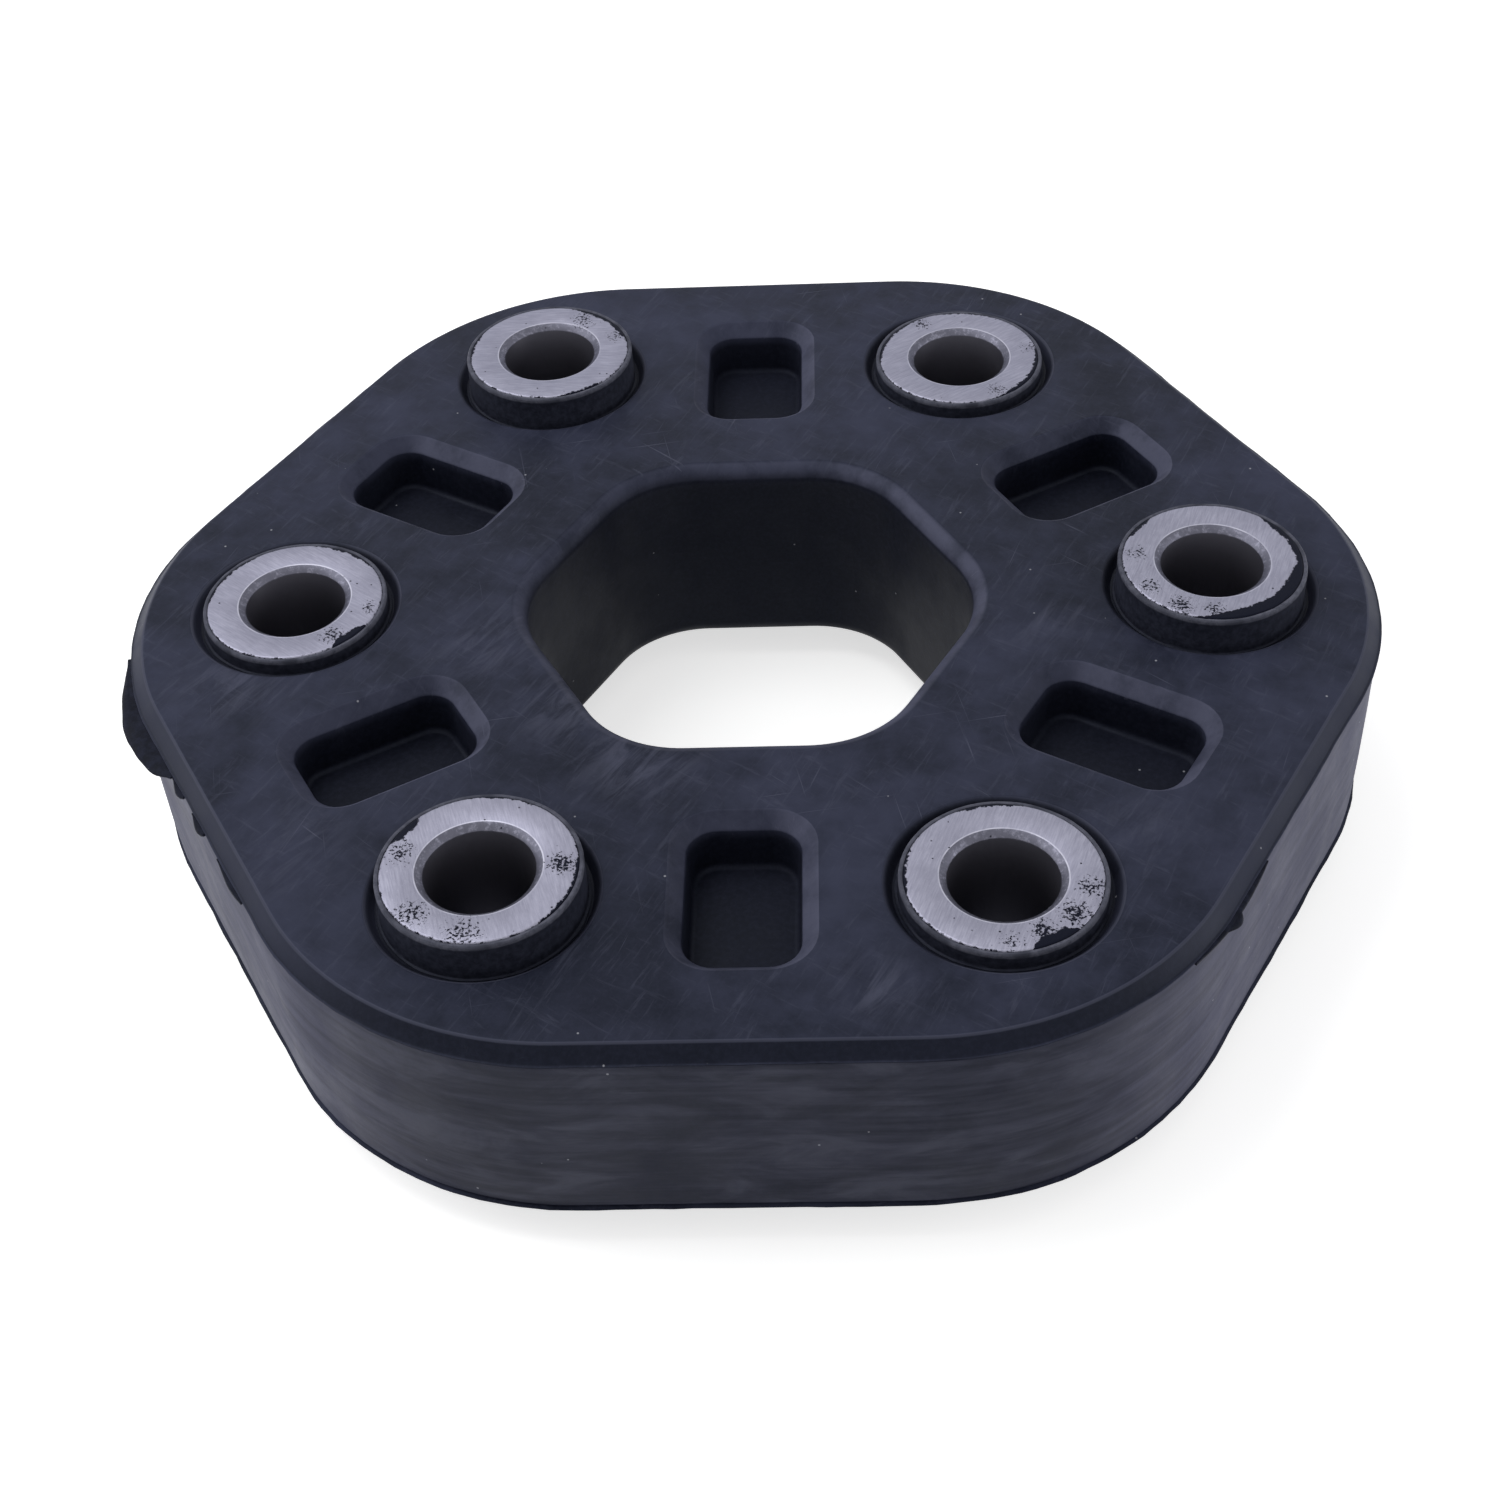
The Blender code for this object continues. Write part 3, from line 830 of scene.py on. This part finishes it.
def rubber_material():
    """Dark blue-grey rubber with chalk, smudges, scratches, dust and a scuffed side wall."""
    g = Graph("rubber_worn")
    places = body_places(g)
    cloud = g.noise(g.scaled((0.16, 0.16, 0.16), shift=(7, 3, 1)), 6.0, 0.62)
    fine = g.noise(g.scaled((1.6, 1.6, 1.6)), 6.0, 0.7)
    chalk = chalk_amount(g, cloud)
    scratches = scratch_lines(g)

    colour = g.mix(chalk, RUBBER_DARK, RUBBER_CHALK)
    colour = smudged(g, wiped(g, colour))
    colour = g.mix(g.times(scratches, 0.5), colour, RUBBER_SCUFF)
    colour = with_side_wall(g, places, colour)
    colour = with_painted_shade_in_hollows(g, places, colour)
    colour = with_rubbed_and_lit_bevels(g, places, cloud, colour)
    colour = with_painted_moat_shade(g, places, colour)
    colour = with_rim(g, places, colour)
    colour = dusted(g, colour)
    colour = g.mix(g.span(fine, 0.35, 0.75, 0.0, 0.18), colour, RUBBER_CHALK)

    roughness = g.math("ADD", g.span(chalk, 0.0, 1.0, 0.44, 0.58), g.times(fine, 0.10))
    dents = g.noise(g.scaled((0.22, 0.22, 0.22), shift=(2, 2, 2)), 3.0)
    grain = g.noise(g.scaled((3.2, 3.2, 3.2)), 4.0, 0.6)
    normal = g.bump(dents, 0.12 * MM, 0.5)
    normal = g.bump(grain, 0.018 * MM, 0.5, normal)
    normal = g.bump(scratches, 0.02 * MM, 0.6, normal)
    g.gloss(RUBBER_GLOSS, RUBBER_GLOSS_TINT)
    return g.finish(colour, roughness, normal)


SKIN_PALE = (0.120, 0.123, 0.160)
SKIN_GREY = (0.060, 0.063, 0.086)
SKIN_PATCH = (0.020, 0.022, 0.033)
# Painted shade on the skin's foot
SKIN_FOOT_SHADE = ((0.009, 0.010, 0.017), (0.022, 0.024, 0.038))
SKIN_GLOSS = 0.15


def skin_material(stand_out):
    """The rubber skin round a sleeve: a rubbed pale crest over a foot painted dark as shade."""
    name = f"rubber_skin_{stand_out / MM:.1f}"
    if name in bpy.data.materials:
        return bpy.data.materials[name]
    g = Graph(name)
    height = g.parts()[2]
    grain = g.noise(g.scaled((1.4, 1.4, 1.4)), 5.0, 0.65)
    patches = g.noise(g.scaled((0.35, 0.35, 0.35)), 4.0, 0.6)
    pale = g.mix(g.span(grain, 0.3, 0.7), SKIN_GREY, SKIN_PALE)
    pale = g.mix(g.span(patches, 0.50, 0.66, 0.0, 0.7), pale, SKIN_PATCH)
    # painted shade: the foot below the crest is dark
    foot = g.mix(g.span(grain, 0.3, 0.7), *SKIN_FOOT_SHADE)
    crest = g.span(height, stand_out - 0.75 * MM, stand_out - 0.45 * MM)
    g.gloss(SKIN_GLOSS, RUBBER_GLOSS_TINT)
    roughness = g.span(grain, 0.2, 0.8, 0.50, 0.66)
    return g.finish(g.mix(crest, foot, pale), roughness, g.bump(grain, 0.03 * MM, 0.6))


FLASH_DARK = (0.0035, 0.0040, 0.0085)
FLASH_PALE = (0.016, 0.018, 0.032)
FLASH_GLOSS = 0.08


def flash_material():
    """Dark, dull, torn rubber."""
    g = Graph("rubber_flash")
    grain = g.noise(g.scaled((0.9, 0.9, 0.9)), 6.0, 0.7)
    colour = g.mix(g.span(grain, 0.35, 0.72), FLASH_DARK, FLASH_PALE)
    g.gloss(FLASH_GLOSS, RUBBER_GLOSS_TINT)
    return g.finish(colour, g.span(grain, 0.2, 0.8, 0.50, 0.66), g.bump(grain, 0.12 * MM, 0.8))


STEEL_BRUSHED = ((0.235, 0.235, 0.300), (0.335, 0.335, 0.415))
STEEL_DULL = (0.215, 0.215, 0.275)
STEEL_GLINT = (0.430, 0.430, 0.520)
STEEL_CHAMFER = (0.085, 0.085, 0.110)
# Painted highlight along the edge of the bore's chamfer
STEEL_EDGE_HIGHLIGHT = (0.560, 0.560, 0.650)
# Painted shade inside the bore
STEEL_BORE_SHADE = (0.105, 0.103, 0.125)
STEEL_EDGE_TINT = (0.82, 0.86, 1.0, 1.0)
RESIDUE = (0.0040, 0.0052, 0.0130)
RESIDUE_GLOSS = 0.10
CHAMFER_RADIUS = BORE_RADIUS + 0.79 * MM

# Black rubber film creeping in from the rim of an upper end face:
# direction and spread in degrees, and how far in, in mm
RIM_FILM = {
    0: ((-50, 62, 1.55), (18, 40, 0.85), (140, 16, 0.5)),
    60: ((150, 40, 0.45), (-25, 45, 0.50), (80, 30, 0.35)),
    120: ((45, 40, 0.70), (170, 20, 0.35), (-60, 20, 0.30)),
    180: ((-42, 16, 1.10), (60, 30, 0.45), (150, 40, 0.35)),
    240: ((146, 15, 1.00), (-15, 40, 0.30), (80, 30, 0.30)),
    300: ((-62, 17, 1.30), (95, 25, 0.45), (175, 20, 0.35)),
}
FILM_EVERYWHERE = 0.03 * MM
FILM_RAGGED = 1.5 * MM

# Clusters of black specks: direction in degrees, distance and reach in mm, and how dense
SPECKS = {
    0: ((-120, 9.2, 2.6, 0.9), (-150, 9.0, 2.4, 0.7), (170, 8.8, 2.4, 0.6), (-95, 9.0, 2.2, 0.9)),
    60: ((-60, 9.2, 2.6, 0.6), (120, 9.4, 2.4, 0.7), (10, 9.6, 2.2, 0.6)),
    120: ((60, 8.6, 3.4, 0.6), (20, 9.4, 2.4, 0.6)),
    180: ((-50, 8.6, 2.6, 0.8), (-10, 9.4, 2.0, 0.6)),
    240: ((2, 8.8, 2.6, 1.0), (-95, 9.2, 3.4, 0.8), (-135, 9.0, 3.0, 0.8), (165, 8.8, 3.0, 0.7)),
    300: ((-38, 8.8, 2.8, 1.0), (-12, 9.2, 2.4, 0.9), (-66, 8.6, 2.4, 1.0), (-88, 9.2, 2.2, 0.6)),
}


def direction_vector(degrees, distance=1.0, height=0.0):
    """A plain tuple in a direction about Z."""
    turn = math.radians(degrees)
    return (distance * math.cos(turn), distance * math.sin(turn), height)


def rim_film(g, angle, flat, from_axis, torn):
    """Where torn rubber film covers the rim of the end face."""
    outward = g.vector("NORMALIZE", flat)
    creeps = [FILM_EVERYWHERE]
    for direction, spread, depth in RIM_FILM[angle]:
        facing = g.vector("DOT_PRODUCT", outward, direction_vector(direction))
        edge = math.cos(math.radians(spread))
        creeps.append(g.span(facing, edge, edge + (1 - edge) * 0.9, 0.0, depth * MM))
    ragged = g.times(g.math("SUBTRACT", torn, 0.5), FILM_RAGGED)
    reach = g.math("ADD", g.math("ADD", from_axis, g.most(creeps)), ragged)
    return g.span(reach, SLEEVE_RADIUS - 0.06 * MM, SLEEVE_RADIUS + 0.06 * MM)


def black_specks(g, angle, half, shift):
    """Clusters of specks on the end face, and a few single pits."""
    clusters = [0.0]
    for direction, distance, reach, dense in SPECKS[angle]:
        centre = direction_vector(direction, distance * MM, half)
        clusters.append(g.times(g.spot(centre, reach * MM), dense))
    cluster = g.most(clusters)
    dots = g.noise(g.scaled((3.0, 3.0, 3.0), shift=shift), 3.0, 0.7)
    dots = g.math("ADD", dots, g.times(cluster, 0.24))
    specks = g.times(g.span(dots, 0.66, 0.70), g.span(cluster, 0.02, 0.2))
    away, number = g.cells(g.scaled((1.1, 1.1, 1.1), shift=shift))
    pits = g.times(g.span(away, 0.17, 0.08), g.span(number, 0.84, 0.90))
    return g.most((specks, pits))


def ground_colour(g, from_axis, broad, brush, fine, torn):
    """Brushed pale steel with a rough grey chamfer and a bright line where it meets the face, a painted
    highlight.
    """
    steel = g.mix(g.span(brush, 0.25, 0.75), *STEEL_BRUSHED)
    steel = g.mix(g.span(broad, 0.35, 0.7, 0.0, 0.45), steel, STEEL_DULL)
    steel = g.mix(g.span(fine, 0.56, 0.72, 0.0, 0.5), steel, STEEL_GLINT)
    chamfer = g.span(from_axis, CHAMFER_RADIUS + 0.03 * MM, CHAMFER_RADIUS - 0.03 * MM)
    steel = g.mix(g.times(chamfer, g.span(torn, 0.34, 0.52, 0.35, 0.85)), steel, STEEL_CHAMFER)
    # painted highlight: a bright line where the chamfer meets the face
    rise = g.span(from_axis, CHAMFER_RADIUS - 0.03 * MM, CHAMFER_RADIUS + 0.02 * MM)
    fall = g.span(from_axis, CHAMFER_RADIUS + 0.17 * MM, CHAMFER_RADIUS + 0.11 * MM)
    return g.mix(g.times(rise, fall, g.span(broad, 0.35, 0.65, 0.15, 0.65)), steel, STEEL_EDGE_HIGHLIGHT)


def steel_material(angle):
    """Ground steel end face with a torn rubber film at its rim, black specks and a bore painted dark as
    shade.
    """
    low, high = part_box(sleeve_name(angle))
    half = (high.z - low.z) / 2
    g = Graph(f"ground_steel_{angle:03d}")
    height = g.parts()[2]
    flat = g.flat()
    from_axis = g.vector("LENGTH", flat)
    shift = (angle * 0.7, angle * 0.3, 0)
    broad = g.noise(g.scaled((0.28, 0.28, 0.28), shift=shift), 4.0, 0.6)
    brush = g.noise(g.scaled((5.0, 0.45, 1.0), angle * 0.6 + 20, shift), 5.0, 0.65)
    fine = g.noise(g.scaled((4.5, 4.5, 4.5), shift=shift), 5.0, 0.75)
    torn = g.noise(g.scaled((1.3, 1.3, 1.3), shift=shift), 6.0, 0.75)

    steel = ground_colour(g, from_axis, broad, brush, fine, torn)
    # painted shade: the bore is darkened below the face
    below_face = g.span(height, half - 0.6 * MM, half - 0.9 * MM)
    in_bore = g.times(g.span(from_axis, BORE_RADIUS + 0.3 * MM, BORE_RADIUS + 0.05 * MM), below_face)
    steel = g.mix(in_bore, steel, STEEL_BORE_SHADE)
    wear = g.most((rim_film(g, angle, flat, from_axis, torn), black_specks(g, angle, half, shift)))
    wear = g.times(wear, g.span(height, half - 0.9 * MM, half - 0.4 * MM))

    g.feed(g.shader.inputs["Metallic"], g.math("SUBTRACT", 1.0, wear, clamp=True))
    g.gloss(RESIDUE_GLOSS, STEEL_EDGE_TINT)
    roughness = g.math("ADD", g.span(fine, 0.2, 0.8, 0.42, 0.56), g.times(wear, 0.1))
    normal = g.bump(brush, 0.020 * MM, 0.6)
    normal = g.bump(fine, 0.012 * MM, 0.5, normal)
    normal = g.bump(wear, 0.04 * MM, 0.8, normal)
    return g.finish(g.mix(wear, steel, RESIDUE), roughness, normal)


def plain_material(name, colour, roughness, metallic, scale):
    """A finish for what is moulded in, with a little grain."""
    g = Graph(name)
    grain = g.noise(g.scaled(scale), 5.0, 0.6)
    darker = tuple(0.6 * part for part in colour)
    g.shader.inputs["Metallic"].default_value = metallic
    mottled = g.mix(g.span(grain, 0.3, 0.7), darker, colour)
    roughness = g.span(grain, 0.2, 0.8, roughness - 0.08, roughness + 0.08)
    return g.finish(mottled, roughness, g.bump(grain, 0.05 * MM, 0.6))


def dress_inner_nodes():
    """Materials for the cord loops and collars inside the rubber."""
    cord = plain_material("polyester_cord", (0.62, 0.58, 0.48), 0.85, 0.0, (0.4, 0.4, 2.2))
    collar = plain_material("collar_steel", (0.30, 0.30, 0.31), 0.48, 1.0, (0.8, 0.8, 0.8))
    for name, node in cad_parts.items():
        if name.startswith("cord_loop"):
            node.data.materials.clear()
            node.data.materials.append(cord)
        if name.startswith("spool_collar"):
            node.data.materials.clear()
            node.data.materials.append(collar)


def seen_brightness(tree, plain, seen):
    """A value that is one number to the object's light and another to the camera and to reflections."""
    path = tree.nodes.new("ShaderNodeLightPath")
    seen_ray = path.outputs["Is Camera Ray"]
    for output in ("Is Glossy Ray", "Is Transmission Ray"):
        either = tree.nodes.new("ShaderNodeMath")
        either.operation = "MAXIMUM"
        tree.links.new(seen_ray, either.inputs[0])
        tree.links.new(path.outputs[output], either.inputs[1])
        seen_ray = either.outputs[0]
    span = tree.nodes.new("ShaderNodeMapRange")
    span.inputs["To Min"].default_value = plain
    span.inputs["To Max"].default_value = seen
    tree.links.new(seen_ray, span.inputs["Value"])
    return span.outputs["Result"]


def make_world():
    """A soft white surround."""
    world = bpy.data.worlds.new("soft_surround")
    bpy.context.scene.world = world
    world.use_nodes = True
    background = world.node_tree.nodes["Background"]
    background.inputs["Color"].default_value = (1.0, 1.0, 1.0, 1.0)
    strength = seen_brightness(world.node_tree, WORLD_LIGHT, WORLD_SEEN)
    world.node_tree.links.new(strength, background.inputs["Strength"])


def make_floor():
    """A white floor that keeps the object's shadow."""
    bpy.ops.mesh.primitive_plane_add(size=6.0, location=(0, 0, CAD_BOX[0][2] - 0.0002))
    floor = bpy.context.active_object
    floor.name = "studio_floor"
    material = bpy.data.materials.new("studio_floor_white")
    material.use_nodes = True
    tree = material.node_tree
    shader = tree.nodes["Principled BSDF"]
    shader.inputs["Base Color"].default_value = (0.88, 0.88, 0.88, 1.0)
    shader.inputs["Roughness"].default_value = 0.9
    shader.inputs["Specular IOR Level"].default_value = 0.0
    shader.inputs["Emission Color"].default_value = (1.0, 1.0, 1.0, 1.0)
    tree.links.new(seen_brightness(tree, 0.0, FLOOR_SEEN), shader.inputs["Emission Strength"])
    floor.data.materials.append(material)


def make_light(name, place, size, power):
    """A square soft light aimed at the object."""
    data = bpy.data.lights.new(name, "AREA")
    data.shape = "SQUARE"
    data.size = size
    data.energy = power
    item = link(bpy.data.objects.new(name, data))
    item.location = place
    item.rotation_euler = (Vector(place) - LIGHT_AIM).to_track_quat("Z", "Y").to_euler()


def make_lights():
    """A large box above at the left, and weaker ones at both sides."""
    make_light("top_box", (-0.30, 0.10, 0.75), 0.45, 1.9)
    make_light("left_box", (-0.70, 0.10, 0.45), 0.40, 1.5)
    make_light("right_box", (0.75, -0.05, 0.16), 0.40, 1.3)


def make_camera():
    """The photograph's viewpoint."""
    azimuth, height, roll = CAMERA_AZIMUTH, CAMERA_HEIGHT, CAMERA_ROLL
    back = Vector((
        math.sin(azimuth) * math.cos(height),
        -math.cos(azimuth) * math.cos(height),
        math.sin(height),
    ))
    right = Vector((math.cos(azimuth), math.sin(azimuth), 0))
    up = back.cross(right)
    rolled_right = right * math.cos(roll) + up * math.sin(roll)
    rolled_up = up * math.cos(roll) - right * math.sin(roll)
    data = bpy.data.cameras.new("photo_camera")
    data.sensor_width = SENSOR_WIDTH
    data.lens = CAMERA_LENS
    data.clip_start = 0.01
    camera = link(bpy.data.objects.new("photo_camera", data))
    turn = Matrix((rolled_right, rolled_up, back)).transposed().to_4x4()
    camera.matrix_world = Matrix.Translation(CAMERA_PLACE) @ turn
    bpy.context.scene.camera = camera


def main():
    """Dress the frame, light it and point the camera."""
    bpy.context.scene.view_settings.view_transform = "Standard"
    make_camera()
    rubber = rubber_material()
    make_rubber_body(rubber)
    for angle in SLEEVE_ANGLES:
        make_sleeve(angle, steel_material(angle))
        make_skin(angle, True)
        make_skin(angle, False)
    torn = flash_material()
    for number in range(len(FLASH)):
        make_flash(number, torn)
    dress_inner_nodes()
    make_world()
    make_floor()
    make_lights()


main()
